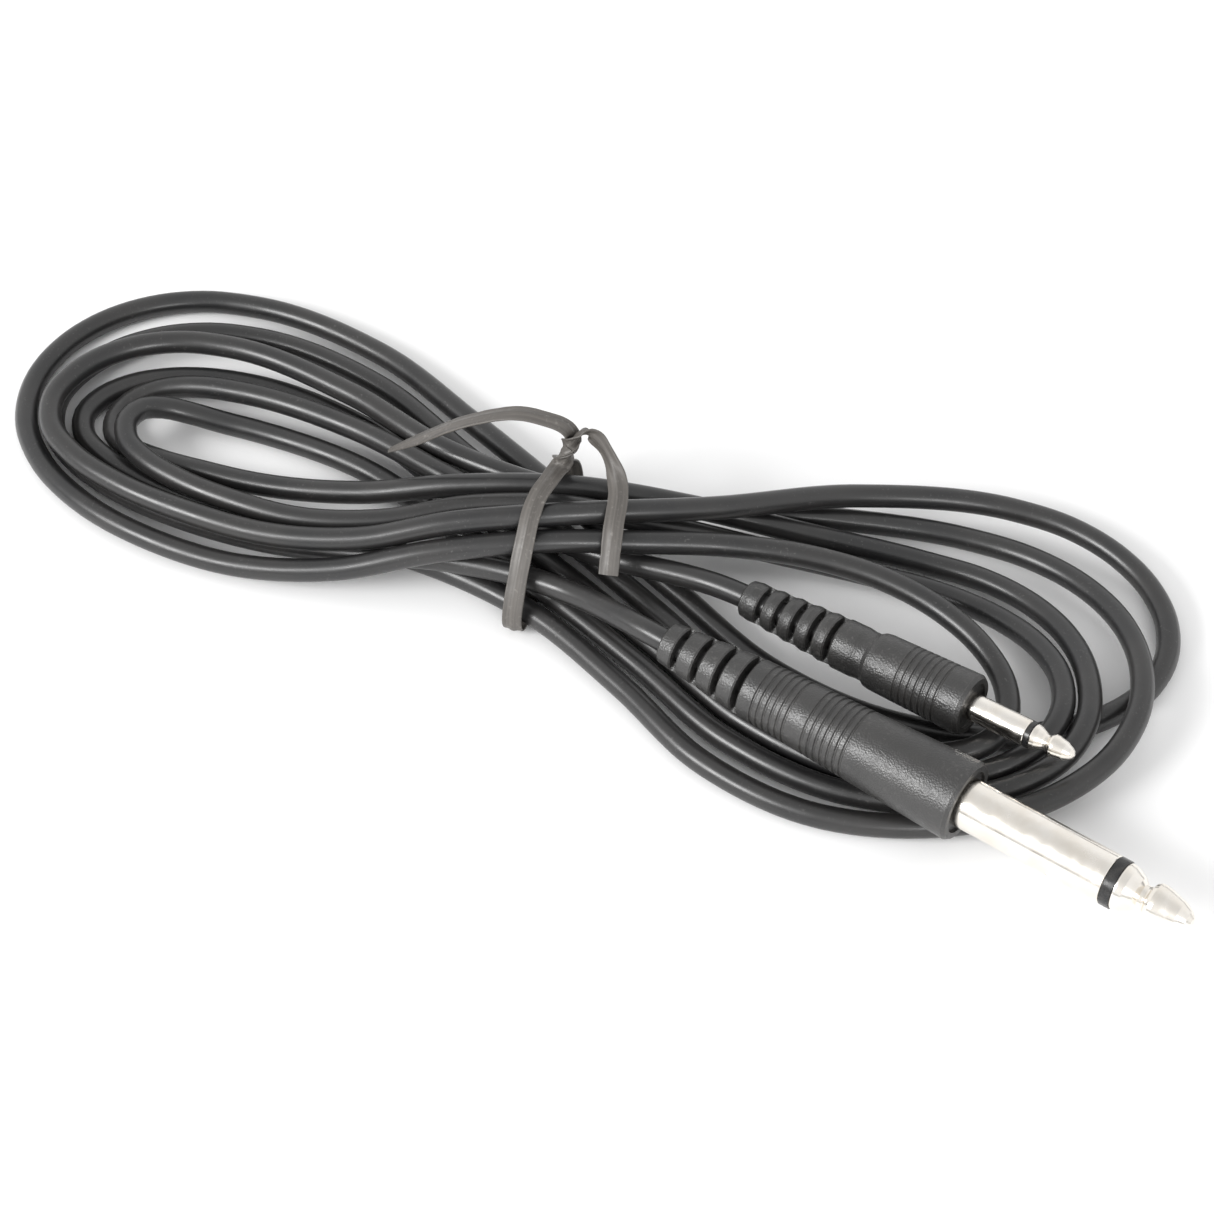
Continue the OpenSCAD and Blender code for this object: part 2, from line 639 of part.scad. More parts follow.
module small_tip() {
  z = small_sleeve_l + small_ring_w;
  l = small_tip_l;
  color(NICKEL) on_small() rotate_extrude() polygon([
    [0, small_lug_z - 0.8], [small_rod_r, small_lug_z - 0.8], [small_rod_r, z], [1.62, z], [1.66, z + 0.15],
    [1.55, z + 0.7], [1.2, z + 1.4], [1, z + 1.7], [0.98, z + 2], [1.1, z + 2.2], [1.38, z + 2.45],
    [1.5, z + 2.75], [1.48, z + 3.1], [1.2, z + l - 1.3], [0.8, z + l - 0.5], [0.45, z + l - 0.1], [0, z + l]
  ]);
}
module small_rear_washer() {
  color(WHITE) on_small() rear_washer(1.7, small_rod_r + gap, small_shank);
}
module small_tip_lug() {
  color(NICKEL) on_small() tip_lug(1.5, small_rod_r + gap, small_lug_z, 1.3, 3);
}
module small_ground_lug() {
  color(NICKEL) on_small()
    ground_lug(small_flange_r, small_r + gap, flange_back - ring_gap, -5.9, 1.9, small_strip_z, 2);
}
module small_inner_mould() {
  color(WHITE) on_small() {
    tube(small_hollow_z + 0.1, small_pocket_z - 0.2, small_hollow_r - 0.05, small_hollow_r - 0.35);
    tube(small_hollow_z + 0.1, small_hollow_z + 0.7, small_hollow_r - 0.2, boot_bore);
  }
}
module small_tip_solder() {
  color(TIN) on_small() difference() {
    solder(1.15, small_lug_z - 2.3, 0.6, 0.6);
    translate([1.4, 0, 0]) bar(small_lug_z - 4, small_lug_z - 1.8 + gap, wire_r + gap);
  }
}
module small_ground_solder() {
  color(TIN) on_small() mirror([1, 0, 0]) solder(1.92, -9, 0.55, 0.35);
}
module small_lead_jacket() {
  color(BLACK) on_small() tube(small_first + gap, small_strip_z + 0.4, cable_r, shield_r + gap);
}
module small_lead_shield() {
  color(COPPER) on_small() tube(small_first + gap, small_strip_z + 1, shield_r, core_r + gap);
}
module small_lead_core() {
  color(WHITE) on_small() tube(small_first + gap, small_strip_z + 2, core_r, wire_r + gap);
}
module small_lead_wire() {
  color(COPPER) on_small() {
    bar(small_first + gap, small_strip_z + 2.6, wire_r);
    translate([1.4, 0, 0]) bar(small_strip_z + 2.3, small_lug_z - 1.8, wire_r);
    translate([0, 0, small_strip_z + 2.45]) rotate([0, 90, 0]) cylinder(h = 1.4, r = wire_r);
  }
}

// ---------------------------------------------------------------- nodes

cable_jacket();
cable_shield();
core_insulation();
core_conductor();
tie_ribbon();
tie_wire();
tie_tail_left();
tie_tail_right();
tie_wire_left();
tie_wire_right();
large_rib(1);  // large_rib_1
large_rib(2);  // large_rib_2
large_rib(3);  // large_rib_3
large_rib(4);  // large_rib_4
large_handle();
large_sleeve();
large_insulator();
large_tip();
large_rear_washer();
large_tip_lug();
large_ground_lug();
large_inner_mould();
large_tip_solder();
large_ground_solder();
large_lead_jacket();
large_lead_shield();
large_lead_core();
large_lead_wire();
small_rib(1);  // small_rib_1
small_rib(2);  // small_rib_2
small_rib(3);  // small_rib_3
small_rib(4);  // small_rib_4
small_rib(5);  // small_rib_5
small_handle();
small_sleeve();
small_insulator();
small_tip();
small_rear_washer();
small_tip_lug();
small_ground_lug();
small_inner_mould();
small_tip_solder();
small_ground_solder();
small_lead_jacket();
small_lead_shield();
small_lead_core();
small_lead_wire();
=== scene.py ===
"""Looks of the coiled instrument cable: smooth cable, tie and boots over the CAD frame, materials, studio."""

import json
import math

import bpy
import numpy as np
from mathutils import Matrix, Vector


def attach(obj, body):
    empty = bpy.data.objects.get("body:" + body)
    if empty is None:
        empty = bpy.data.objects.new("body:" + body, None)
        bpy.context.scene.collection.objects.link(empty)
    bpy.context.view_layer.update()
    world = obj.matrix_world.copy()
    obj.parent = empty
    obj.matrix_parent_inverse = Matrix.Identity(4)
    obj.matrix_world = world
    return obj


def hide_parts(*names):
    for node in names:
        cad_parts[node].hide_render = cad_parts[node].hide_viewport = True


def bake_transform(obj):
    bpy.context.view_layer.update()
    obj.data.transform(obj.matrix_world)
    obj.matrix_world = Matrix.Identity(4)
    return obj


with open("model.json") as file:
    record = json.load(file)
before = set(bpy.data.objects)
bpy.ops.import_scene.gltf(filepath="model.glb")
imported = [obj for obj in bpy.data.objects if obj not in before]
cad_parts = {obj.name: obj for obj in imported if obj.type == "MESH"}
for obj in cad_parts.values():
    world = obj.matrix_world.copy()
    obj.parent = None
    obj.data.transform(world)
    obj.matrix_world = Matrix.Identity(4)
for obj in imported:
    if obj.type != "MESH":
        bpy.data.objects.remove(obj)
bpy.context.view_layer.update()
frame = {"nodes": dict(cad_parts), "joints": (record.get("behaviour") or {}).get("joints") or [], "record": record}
record = frame["record"]
nodes = frame["nodes"]
joints = {j["name"]: j for j in frame["joints"]}

MM = 0.001

# ------------------------------------------------------------------ sizes

# Cable: the radius of each layer, the air between layers, and how finely it is swept.
CABLE_R = 1.54 * MM
SHIELD_R = 0.75 * MM
CORE_R = 0.54 * MM
WIRE_R = 0.21 * MM
LAYER_GAP = 0.03 * MM
CABLE_SIDES = 28
CORE_SIDES = 14
CABLE_STEP = 1.3 * MM
CABLE_WAVE = 0.006
WAVE_POINTS = 25

# Twist tie: the ribbon, the ridge over its wire, the wire, the sweep's step and the ribbon's crinkle.
RIBBON_W = 2.6 * MM
RIBBON_T = 0.3 * MM
RIDGE_T = 0.72 * MM
RIDGE_SPREAD = 0.42 * MM
TIE_WIRE_R = 0.2 * MM
TIE_WIRE_SIDES = 10
TIE_STEP = 0.5 * MM
CRINKLE = 0.03
CRINKLE_POINTS = 9

# How the tie's lines are read from the CAD: corners round its wire, CAD points in the sharp turn at a
# tail's start, and points of the neck that a tail takes over from the loop.
WIRE_CORNERS = 5
TURN_POINTS = 3
NECK_SHARE = 3

# A tail's twist towards the viewer, by share of its length, and the share where its taper starts.
TWIST_AT = 0.3
TWIST_WIDTH = 0.14
VIEW_WAY = np.array([0.2, -0.65, 0.73])
TAPER_FROM = 0.75

# Lead wire in a handle: the straight part past the core's end, the rise to the tip lug, and the step.
WIRE_FREE = 0.6 * MM
WIRE_RISE = 1.4 * MM
WIRE_STEP = 0.4 * MM
TIP_DEPTH = 0.05 * MM
LEAD_ROWS = 15
LEAD_END_ROWS = 24

# Swept edges over SHARP_ANGLE stay sharp; edges of shown CAD nodes over EDGE_ANGLE are softened.
SHARP_ANGLE = math.radians(50)
EDGE_R = 0.05 * MM
EDGE_ANGLE = math.radians(30)

# Slots across each boot, and a slot's length along the plug.
PLUGS = {"large": {"slots": 4, "slot": 0.9 * MM}, "small": {"slots": 5, "slot": 0.85 * MM}}

# Camera: a point near the coil's middle, seen from 17 degrees round and 47 degrees up.
VIEW_AZIMUTH = 17
VIEW_ELEVATION = 47
VIEW_DISTANCE = 450 * MM
VIEW_TARGET = Vector((8.2, -5.9, 0)) * MM
LENS_MM = 103.4
LIGHT_TARGET = VIEW_TARGET + Vector((0, 0, 5.0)) * MM
FLOOR_HALF = 3.0


# ------------------------------------------------------------------ materials


class Shader:
    """A material's node tree, with short calls for the nodes used here. Lengths are in metres."""

    def __init__(self, name):
        self.material = bpy.data.materials.new(name)
        self.material.use_nodes = True
        self.tree = self.material.node_tree
        self.bsdf = self.tree.nodes["Principled BSDF"]
        self.coords = self.add("ShaderNodeTexCoord").outputs["Object"]
        self.normal = None

    def add(self, kind):
        return self.tree.nodes.new(kind)

    def link(self, source, target):
        self.tree.links.new(source, target)

    def noise(self, size, detail=3.0, coords=None, roughness=0.55):
        """Noise whose features are about size across."""
        node = self.add("ShaderNodeTexNoise")
        node.inputs["Scale"].default_value = 1.0 / size
        node.inputs["Detail"].default_value = detail
        node.inputs["Roughness"].default_value = roughness
        self.link(coords or self.coords, node.inputs["Vector"])
        return node.outputs["Fac"]

    def cells(self, size):
        node = self.add("ShaderNodeTexVoronoi")
        node.inputs["Scale"].default_value = 1.0 / size
        self.link(self.coords, node.inputs["Vector"])
        return node.outputs["Distance"]

    def stretched(self, factors, name=None):
        """Coordinates scaled per axis, of the object or of a named attribute."""
        source = self.coords
        if name:
            attribute = self.add("ShaderNodeAttribute")
            attribute.attribute_name = name
            source = attribute.outputs["Vector"]
        node = self.add("ShaderNodeVectorMath")
        node.operation = "MULTIPLY"
        self.link(source, node.inputs[0])
        node.inputs[1].default_value = factors
        return node.outputs["Vector"]

    def spread(self, fac, low, high, low_at=0.35, high_at=0.65):
        """fac remapped from low_at..high_at to low..high."""
        node = self.add("ShaderNodeMapRange")
        node.inputs["From Min"].default_value = low_at
        node.inputs["From Max"].default_value = high_at
        node.inputs["To Min"].default_value = low
        node.inputs["To Max"].default_value = high
        self.link(fac, node.inputs["Value"])
        return node.outputs["Result"]

    def product(self, a, b):
        node = self.add("ShaderNodeMath")
        node.operation = "MULTIPLY"
        self.link(a, node.inputs[0])
        self.link(b, node.inputs[1])
        return node.outputs["Value"]

    def mixed(self, fac, a, b):
        """Colour a where fac is 0 and b where it is 1; each is a colour or a socket."""
        node = self.add("ShaderNodeMix")
        node.data_type = "RGBA"
        self.link(fac, node.inputs["Factor"])
        for value, socket in ((a, node.inputs["A"]), (b, node.inputs["B"])):
            if isinstance(value, tuple):
                socket.default_value = (*value, 1.0)
            else:
                self.link(value, socket)
        return node.outputs["Result"]

    def edge_highlight_mask(self, radius, strength):
        """1 on sharp edges, fading inwards over radius; the mask of a painted edge highlight."""
        bevel = self.add("ShaderNodeBevel")
        bevel.samples = 4
        bevel.inputs["Radius"].default_value = radius
        geometry = self.add("ShaderNodeNewGeometry")
        dot = self.add("ShaderNodeVectorMath")
        dot.operation = "DOT_PRODUCT"
        self.link(bevel.outputs["Normal"], dot.inputs[0])
        self.link(geometry.outputs["Normal"], dot.inputs[1])
        return self.spread(dot.outputs["Value"], strength, 0.0, 0.8, 0.995)

    def bump(self, height, strength, distance):
        node = self.add("ShaderNodeBump")
        node.inputs["Strength"].default_value = strength
        node.inputs["Distance"].default_value = distance
        self.link(height, node.inputs["Height"])
        if self.normal is not None:
            self.link(self.normal, node.inputs["Normal"])
        self.normal = node.outputs["Normal"]
        self.link(self.normal, self.bsdf.inputs["Normal"])

    def set(self, **values):
        """Sets inputs of the surface by name, with _ for a space; a value may be a socket."""
        for name, value in values.items():
            socket = self.bsdf.inputs[name.replace("_", " ")]
            if isinstance(value, bpy.types.NodeSocket):
                self.link(value, socket)
            elif isinstance(value, tuple):
                socket.default_value = (*value, 1.0)
            else:
                socket.default_value = value


def jacket_pvc():
    """Extruded soft PVC: satin, faint lines along the cable, a little dust."""
    s = Shader("jacket_pvc")
    tone = s.spread(s.noise(9 * MM), 0.0, 1.0)
    base = s.mixed(tone, (0.014, 0.014, 0.0145), (0.022, 0.021, 0.0205))
    specks = s.spread(s.noise(0.35 * MM, 2.0), 0.0, 1.0, 0.62, 0.74)
    dust = s.product(specks, s.spread(s.noise(6 * MM), 0.0, 0.35))
    s.set(Base_Color=s.mixed(dust, base, (0.16, 0.155, 0.15)), Specular_IOR_Level=0.65)
    s.set(Roughness=s.spread(s.noise(3 * MM), 0.28, 0.36))
    lines = s.noise(1.0, 2.0, s.stretched((25.0, 900.0, 0.0), "sweep"))
    s.bump(lines, 0.25, 0.02 * MM)
    s.bump(s.noise(0.12 * MM, 2.0), 0.18, 0.01 * MM)
    return s.material


def moulding_black():
    """Moulded PVC with a fine spark-eroded grain; its sharp edges are painted a lighter warm grey, a painted
    highlight standing in for the rim reflection of the soft light.
    """
    s = Shader("moulding_black")
    tone = s.spread(s.noise(5 * MM), 0.0, 1.0)
    base = s.mixed(tone, (0.018, 0.0175, 0.017), (0.026, 0.025, 0.024))
    # Painted highlight: sharp edges lightened to warm grey, standing in for the soft light's rim reflection along
    # the edges.
    painted_edge_highlight = s.product(s.edge_highlight_mask(0.14 * MM, 0.6), s.spread(s.noise(1.2 * MM), 0.2, 1.0))
    marks = s.spread(s.noise(0.5 * MM, 3.0), 0.0, 1.0, 0.56, 0.72)
    scuffs = s.product(marks, s.spread(s.noise(6 * MM), 0.0, 0.5))
    marked = s.mixed(scuffs, base, (0.10, 0.095, 0.09))
    s.set(Base_Color=s.mixed(painted_edge_highlight, marked, (0.14, 0.13, 0.12)), Specular_IOR_Level=0.8)
    s.set(Roughness=s.spread(s.noise(1.6 * MM), 0.34, 0.44))
    s.bump(s.cells(0.25 * MM), 0.7, 0.05 * MM)
    s.bump(s.noise(0.14 * MM, 3.0), 0.45, 0.025 * MM)
    s.bump(s.noise(1.4 * MM, 3.0), 0.15, 0.05 * MM)
    return s.material


def bright_nickel():
    """Bright plating, slightly uneven, with duller smudges."""
    s = Shader("nickel")
    tone = s.spread(s.noise(3 * MM), 0.0, 1.0)
    s.set(Base_Color=s.mixed(tone, (0.86, 0.81, 0.735), (0.92, 0.885, 0.83)), Metallic=1.0)
    s.set(Roughness=s.spread(s.noise(2.2 * MM, 4.0), 0.14, 0.30, 0.4, 0.7))
    s.bump(s.noise(0.08 * MM, 1.0), 0.06, 0.004 * MM)
    s.bump(s.noise(4 * MM, 2.0), 0.08, 0.02 * MM)
    return s.material


def gloss_black():
    """The glossy insulating ring between a plug's sleeve and tip."""
    s = Shader("insulator_black")
    base = s.mixed(s.spread(s.noise(1 * MM), 0.0, 1.0), (0.012, 0.012, 0.013), (0.03, 0.029, 0.028))
    s.set(Base_Color=base, Roughness=s.spread(s.noise(0.7 * MM), 0.2, 0.34))
    s.bump(s.noise(0.15 * MM), 0.12, 0.006 * MM)
    return s.material


def tie_pvc():
    """The tie's soft grey-brown strip, streaked along its length where it was stretched over the wire."""
    s = Shader("tie_pvc")
    streaks = s.noise(1.0, 3.0, s.stretched((60.0, 2500.0, 0.0), "sweep"))
    base = s.mixed(s.spread(streaks, 0.0, 1.0), (0.075, 0.069, 0.063), (0.12, 0.11, 0.10))
    marks = s.spread(s.noise(0.5 * MM), 0.0, 0.7, 0.58, 0.72)
    scuffs = s.product(marks, s.spread(s.noise(4 * MM), 0.0, 1.0))
    s.set(Base_Color=s.mixed(scuffs, base, (0.22, 0.205, 0.19)))
    s.set(Roughness=s.spread(s.noise(1.5 * MM), 0.38, 0.55))
    s.bump(streaks, 0.3, 0.03 * MM)
    s.bump(s.noise(0.9 * MM), 0.25, 0.05 * MM)
    return s.material


def wire_metal(name, dark, light, rough, lay):
    """Strand or wire; lay is the size of the lines that its lay draws on it."""
    s = Shader(name)
    s.set(Base_Color=s.mixed(s.spread(s.noise(0.8 * MM), 0.0, 1.0), dark, light), Metallic=1.0)
    s.set(Roughness=s.spread(s.noise(0.5 * MM), rough - 0.06, rough + 0.06))
    wave = s.add("ShaderNodeTexWave")
    wave.bands_direction = "DIAGONAL"
    wave.inputs["Scale"].default_value = 1.0 / lay
    wave.inputs["Distortion"].default_value = 0.6
    s.link(s.coords, wave.inputs["Vector"])
    s.bump(wave.outputs["Fac"], 0.5, 0.03 * MM)
    return s.material


def plain_plastic(name, dark, light, rough):
    """Unmarked plastic between two tones."""
    s = Shader(name)
    s.set(Base_Color=s.mixed(s.spread(s.noise(1.5 * MM), 0.0, 1.0), dark, light))
    s.set(Roughness=s.spread(s.noise(0.8 * MM), rough - 0.05, rough + 0.08))
    s.bump(s.noise(0.2 * MM), 0.15, 0.02 * MM)
    return s.material


def fibre():
    """Pressed fibre of the insulating washers."""
    s = Shader("washer_fibre")
    threads = s.noise(0.12 * MM, 4.0, s.stretched((1.0, 1.0, 4.0)))
    base = s.mixed(s.spread(threads, 0.0, 1.0), (0.55, 0.48, 0.36), (0.74, 0.69, 0.56))
    s.set(Base_Color=base, Roughness=0.85)
    s.bump(threads, 0.5, 0.05 * MM)
    return s.material


MATERIALS = {
    "jacket_pvc": jacket_pvc(),
    "moulding_black": moulding_black(),
    "nickel": bright_nickel(),
    "insulator_black": gloss_black(),
    "copper": wire_metal("copper", (0.62, 0.30, 0.16), (0.80, 0.46, 0.28), 0.3, 0.2 * MM),
    "core_white": plain_plastic("core_white", (0.70, 0.70, 0.67), (0.82, 0.82, 0.79), 0.4),
    "tie_pvc": tie_pvc(),
    "tie_steel": wire_metal("tie_steel", (0.42, 0.42, 0.43), (0.58, 0.58, 0.60), 0.35, 0.3 * MM),
    "washer_fibre": fibre(),
    "inner_pe": plain_plastic("inner_pe", (0.62, 0.62, 0.60), (0.76, 0.76, 0.73), 0.35),
    "solder": wire_metal("solder", (0.60, 0.61, 0.63), (0.76, 0.77, 0.79), 0.28, 0.6 * MM),
}


def finish_piece(obj, slot):
    obj.data.materials.clear()
    obj.data.materials.append(MATERIALS[slot])


# ------------------------------------------------------------------ lines read from the CAD solids


def corner_points(node):
    """A CAD mesh's separate corners, and the corners joined to each by an edge."""
    mesh = nodes[node].data
    points = np.array([v.co[:] for v in mesh.vertices])
    corners, index = np.unique(np.round(points, 7), axis=0, return_inverse=True)
    index = index.ravel()
    near = [set() for _ in corners]
    for edge in mesh.edges:
        a, b = index[edge.vertices[0]], index[edge.vertices[1]]
        if a != b:
            near[a].add(b)
            near[b].add(a)
    return corners, near


def swept_line(node, start, count):
    """The centre line of a swept CAD solid with count corners a ring, from its end nearest start."""
    corners, near = corner_points(node)
    nearest = corners[np.argmin(np.linalg.norm(corners - np.array(start), axis=1))]
    order = np.argsort(np.linalg.norm(corners - nearest, axis=1))
    ring = set(int(i) for i in order[:count])
    seen, line = set(ring), []
    while ring:
        line.append(corners[sorted(ring)].mean(axis=0))
        ring = {j for i in ring for j in near[i] if j not in seen}
        seen |= ring
    return np.array(line)


def ribbon_widths(node, line, first=None):
    """The direction across a ribbon at every point of its wire's line, kept from flipping.
    A ribbon's section is the same on both sides of its wire, so its corners have a twin opposite."""
    corners, _ = corner_points(node)
    found = [] if first is None else [np.array(first)]
    for centre, along in zip(line, tangents(line)):
        offsets = corners - centre
        offsets = offsets[np.linalg.norm(offsets, axis=1) < 0.6 * RIBBON_W]
        twins = np.linalg.norm(offsets[:, None] + offsets[None], axis=2).min(axis=1) < 0.02 * MM
        ring = offsets[twins]
        ring = ring - (ring @ along)[:, None] * along
        direction = np.linalg.svd(ring)[2][0]
        if found and found[-1] @ direction < 0:
            direction = -direction
        found.append(direction)
    return np.array(found if first is None else found[1:])


def smooth_line(points, step):
    """(places, positions) of a smooth curve through every point, sampled about every step.
    places are fractional indices into points."""
    padded = np.vstack([2 * points[0] - points[1], points, 2 * points[-1] - points[-2]])
    places, curve = [], []
    for i in range(len(points) - 1):
        p0, p1, p2, p3 = padded[i : i + 4]
        span = np.linalg.norm(p2 - p1)
        before, after = np.linalg.norm(p1 - p0), np.linalg.norm(p3 - p2)
        leave = (p2 - p1) - (span / (before + span)) * (p2 - p0) + (p1 - p0) * span / before
        arrive = (p2 - p1) - (span / (after + span)) * (p3 - p1) + (p3 - p2) * span / after
        count = max(1, round(span / step))
        for t in np.arange(count) / count:
            h = (2 * t**3 - 3 * t**2 + 1, t**3 - 2 * t**2 + t, 3 * t**2 - 2 * t**3, t**3 - t**2)
            curve.append(h[0] * p1 + h[1] * leave + h[2] * p2 + h[3] * arrive)
            places.append(i + t)
    curve.append(points[-1])
    places.append(len(points) - 1)
    return np.array(places), np.array(curve)


def tangents(curve):
    t = np.gradient(curve, axis=0)
    return t / np.linalg.norm(t, axis=1)[:, None]


def carried_frames(curve):
    """A width direction at every point that never twists about the curve."""
    t = tangents(curve)
    side = np.cross([0.0, 0.0, 1.0], t[0])
    found = []
    for direction in t:
        side = side - direction * (side @ direction)
        side = side / np.linalg.norm(side)
        found.append(side)
    return np.array(found)


def relaxed(points, rounds):
    """Points eased towards their neighbours, with both ends held."""
    for _ in range(rounds):
        points = points.copy()
        points[1:-1] = 0.25 * points[:-2] + 0.5 * points[1:-1] + 0.25 * points[2:]
    return points


def softened(values, count):
    """Values averaged over count neighbours, the near ones counting most."""
    window = np.hanning(count)
    return np.convolve(values, window / window.sum(), mode="same")


def blended_widths(places, directions):
    """Width directions between those given at whole places."""
    low = np.clip(np.floor(places).astype(int), 0, len(directions) - 2)
    t = (places - low)[:, None]
    mixed = directions[low] * (1 - t) + directions[low + 1] * t
    return mixed / np.linalg.norm(mixed, axis=1)[:, None]


# ------------------------------------------------------------------ swept meshes

# The cable's layers from the outside in: layer, material, sides, radius, and the bore's radius or None.
LAYERS = (
    ("jacket", "jacket_pvc", CABLE_SIDES, CABLE_R, SHIELD_R + LAYER_GAP),
    ("shield", "copper", CORE_SIDES, SHIELD_R, CORE_R + LAYER_GAP),
    ("core", "core_white", CORE_SIDES, CORE_R, WIRE_R + LAYER_GAP),
    ("wire", "copper", CORE_SIDES, WIRE_R, None),
)


def circle(sides, radius):
    a = np.arange(sides) * 2 * math.pi / sides
    return np.stack([np.cos(a), np.sin(a)], axis=1) * radius


def sweep_mesh(name, curve, side, outer, inner=None, scales=None):
    """Sweeps a closed section along a curve, with a channel of section inner if given, and closes both ends.
    The attribute "sweep" holds distance along, distance across, 0."""
    t = tangents(curve)
    side = side - t * np.sum(side * t, axis=1)[:, None]
    side = side / np.linalg.norm(side, axis=1)[:, None]
    up = np.cross(t, side)
    along = np.concatenate([[0], np.cumsum(np.linalg.norm(np.diff(curve, axis=0), axis=1))])
    scales = np.ones(len(curve)) if scales is None else scales
    vertices, uv, faces = [], [], []
    rows = len(curve)
    walls = [(outer, False)] + ([(inner, True)] if inner is not None else [])
    for section, inward in walls:
        first = len(vertices)
        m = len(section)
        girth = np.linalg.norm(np.roll(section, -1, axis=0) - section, axis=1)
        across = np.concatenate([[0], np.cumsum(girth)[:-1]])
        for i in range(rows):
            ring = curve[i] + (side[i] * section[:, :1] + up[i] * section[:, 1:]) * scales[i]
            vertices.extend(map(tuple, ring))
            uv.extend((along[i], a, 0.0) for a in across)
        for i in range(rows - 1):
            for j in range(m):
                a, b = first + i * m + j, first + i * m + (j + 1) % m
                quad = (a, b, b + m, a + m)
                faces.append(quad[::-1] if inward else quad)
    m = len(outer)
    last = (rows - 1) * m
    if inner is None:
        faces.append(tuple(range(m - 1, -1, -1)))
        faces.append(tuple(range(last, last + m)))
    else:
        shift = rows * m
        for j in range(m):
            k = (j + 1) % m
            faces.append((j, j + shift, k + shift, k))
            faces.append((last + k, last + k + shift, last + j + shift, last + j))
    mesh = bpy.data.meshes.new(name)
    mesh.from_pydata(vertices, [], faces)
    attribute = mesh.attributes.new("sweep", "FLOAT_VECTOR", "POINT")
    attribute.data.foreach_set("vector", np.array(uv, np.float32).ravel())
    for polygon in mesh.polygons:
        polygon.use_smooth = True
    mesh.set_sharp_from_angle(angle=SHARP_ANGLE)
    mesh.update()
    obj = bpy.data.objects.new(name, mesh)
    bpy.context.scene.collection.objects.link(obj)
    return obj


def swept_piece(name, slot, curve, side, outer, inner=None, scales=None):
    obj = sweep_mesh(name, curve, side, outer, inner, scales)
    finish_piece(obj, slot)
    return obj


# ------------------------------------------------------------------ cable


def build_cable():
    """The four layers of the coiled cable on one smooth line, thinned a little here and there."""
    start = joints["small_flex_1"]["pos_m"]
    line = swept_line("core_conductor", start, WIRE_CORNERS)
    _, curve = smooth_line(line, CABLE_STEP)
    side = carried_frames(curve)
    wave = np.random.default_rng(7).normal(size=len(curve))
    wave = softened(wave, WAVE_POINTS)
    scales = 1 + CABLE_WAVE * np.clip(wave / np.abs(wave).max(), -1, 0)
    cable_nodes = ("cable_jacket", "cable_shield", "core_insulation", "core_conductor")
    for node, (_, slot, sides, radius, bore) in zip(cable_nodes, LAYERS):
        inner = circle(sides, bore) if bore else None
        obj = swept_piece(node + "_smooth", slot, curve, side, circle(sides, radius), inner, scales)
        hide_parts(node)
        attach(obj, "coil")


# ------------------------------------------------------------------ twist tie


def ribbon_section():
    """Half-round edges, flat sides and a rounded ridge over the wire; 32 points."""
    w, t, ridge = RIBBON_W / 2, RIBBON_T / 2, RIDGE_T / 2
    top = []
    edge = [(w - t + t * math.cos(a), t * math.sin(a)) for a in np.radians([-60, -20, 20, 60])]
    for x in np.linspace(w - t, -(w - t), 12):
        swell = math.exp(-((x / RIDGE_SPREAD) ** 2))
        top.append((x, t + (ridge - t) * swell))
    upper = edge[2:] + top
    lower = [(-x, -y) for x, y in upper]
    right = edge[:2]
    left = [(-x, -y) for x, y in right]
    return np.array(right + upper + left + lower)


def wire_channel(count):
    return circle(count, TIE_WIRE_R + LAYER_GAP)


def ribbon_pair(name, node, wire_node, curve, side, taper=1.0):
    """The ribbon and its wire along one curve."""
    section = ribbon_section()
    rng = np.random.default_rng(len(name))
    crinkle = softened(rng.normal(size=len(curve)), CRINKLE_POINTS)
    scales = taper * (1 + CRINKLE * np.clip(crinkle, -1, 0.5))
    strip = swept_piece(name, "tie_pvc", curve, side, section, wire_channel(len(section)), scales)
    round_wire = circle(TIE_WIRE_SIDES, TIE_WIRE_R)
    wire = swept_piece(name + "_wire", "tie_steel", curve, side, round_wire, None, scales)
    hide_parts(node)
    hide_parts(wire_node)
    return strip, wire


def build_tie_loop():
    """The ribbon round the bundle and up the neck; returns its line and its directions across."""
    line = swept_line("tie_wire", joints["left_tail_bend"]["pos_m"], WIRE_CORNERS)
    places, curve = smooth_line(line, TIE_STEP)
    side = relaxed(blended_widths(places, ribbon_widths("tie_ribbon", line)), 8)
    inner = slice(NECK_SHARE, -NECK_SHARE)
    for obj in ribbon_pair("tie_ribbon_soft", "tie_ribbon", "tie_wire", curve[inner], side[inner]):
        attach(obj, "coil")
    return curve, side


def build_tail(which, loop, loop_side, taper, twist):
    """A tail that carries on the loop's ribbon from loop's first point; which is "left" or "right".
    It takes over in the neck and bends just beyond it, where its line turns sideways."""
    neck, neck_side = loop[NECK_SHARE + 1 :: -1], loop_side[NECK_SHARE + 1 :: -1]
    wire_node = "tie_wire_" + which
    tail_node = "tie_tail_" + which
    wire = swept_line(wire_node, joints[which + "_tail_bend"]["pos_m"], WIRE_CORNERS)
    wire_side = ribbon_widths(tail_node, wire, neck_side[-1])
    places, curve = smooth_line(np.vstack([neck, wire[TURN_POINTS:]]), TIE_STEP / 2)
    side = blended_widths(places, np.vstack([neck_side, wire_side[TURN_POINTS:]]))
    kept = places >= 1
    curve, side = relaxed(curve[kept], 12), relaxed(side[kept], 12)
    t = np.linspace(0, 1, len(curve))[:, None]
    side = side + twist * np.exp(-(((t - TWIST_AT) / TWIST_WIDTH) ** 2)) * VIEW_WAY
    scales = 1 - taper * np.clip((t[:, 0] - TAPER_FROM) / (1 - TAPER_FROM), 0, 1) ** 1.5
    for obj in ribbon_pair(tail_node + "_soft", tail_node, wire_node, curve, side, scales):
        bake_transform(obj)


# ------------------------------------------------------------------ leads inside the boots


